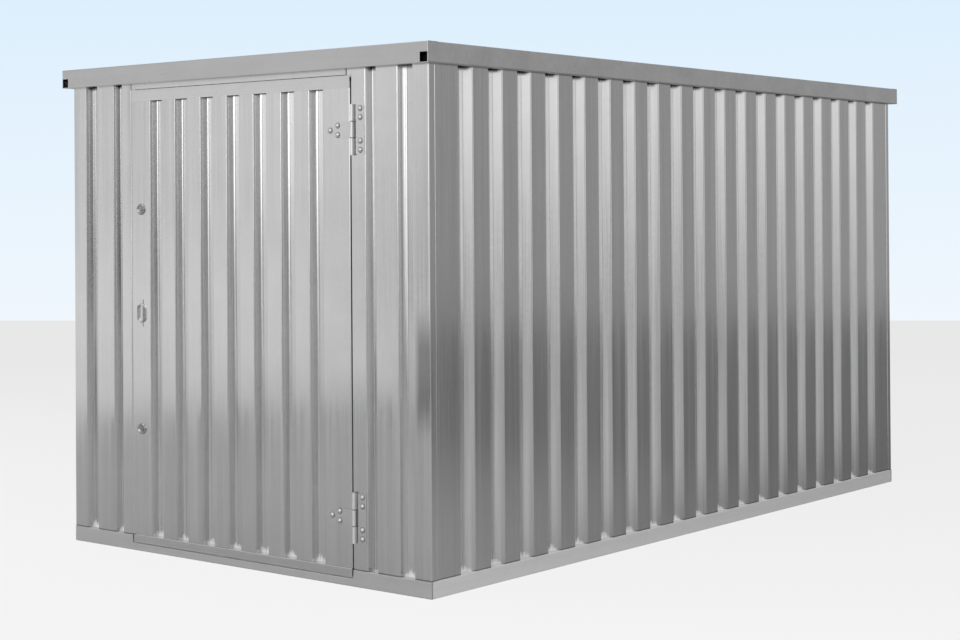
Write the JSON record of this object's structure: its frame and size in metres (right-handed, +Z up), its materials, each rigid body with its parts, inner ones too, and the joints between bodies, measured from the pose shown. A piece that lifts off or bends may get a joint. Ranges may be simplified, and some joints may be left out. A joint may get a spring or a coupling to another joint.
{
  "type": "flat pack storage container",
  "caption": "Bolted galvanised store: corrugated wall panels on folded base rails, tray roof in an edge channel, hinged front door with strap hinges.",
  "frame": {"origin": "middle of the footprint at ground level", "axes": "+X to the right seen from the door, +Y from the door to the rear wall, +Z up"},
  "size_m": [2.17, 4.05, 2.15],
  "materials": {
    "sheet_steel": "bright galvanised sheet",
    "rail_steel": "galvanised folded plate",
    "furniture_steel": "zinc plated",
    "floor_ply": "film-free plywood"
  },
  "bodies": {
    "store": {"base_front_rail": "rail_steel", "base_rear_rail": "rail_steel", "base_left_rail": "rail_steel", "base_right_rail": "rail_steel", "floor_bearers": "rail_steel", "floor_board_1": "floor_ply", "floor_board_2": "floor_ply", "floor_board_3": "floor_ply", "left_wall_panel_1": "sheet_steel", "left_wall_panel_2": "sheet_steel", "left_wall_panel_3": "sheet_steel", "left_wall_panel_4": "sheet_steel", "right_wall_panel_1": "sheet_steel", "right_wall_panel_2": "sheet_steel", "right_wall_panel_3": "sheet_steel", "right_wall_panel_4": "sheet_steel", "rear_wall_left": "sheet_steel", "rear_wall_right": "sheet_steel", "front_wall_left": "sheet_steel", "front_wall_right": "sheet_steel", "door_post_left": "rail_steel", "door_post_right": "rail_steel", "door_head": "sheet_steel", "roof_panel_1": "sheet_steel", "roof_panel_2": "sheet_steel", "roof_panel_3": "sheet_steel", "roof_panel_4": "sheet_steel", "roof_edge_front": "sheet_steel", "roof_edge_rear": "sheet_steel", "roof_edge_left": "sheet_steel", "roof_edge_right": "sheet_steel", "upper_hinge_plate": "furniture_steel", "lower_hinge_plate": "furniture_steel"},
    "door": {"door_skin": "sheet_steel", "door_top_rail": "sheet_steel", "door_bottom_rail": "sheet_steel", "door_lock_stile": "rail_steel", "door_hinge_stile": "rail_steel", "door_handle": "furniture_steel", "upper_lock": "furniture_steel", "lower_lock": "furniture_steel", "upper_hinge_strap": "furniture_steel", "lower_hinge_strap": "furniture_steel"}
  },
  "joints": [
    {"name": "door_hinge", "type": "hinge", "parent": "store", "child": "door", "pos_m": [0.6645, -1.993, 1.05], "axis": [0, 0, 1], "range_deg": [0, 180]}
  ]
}
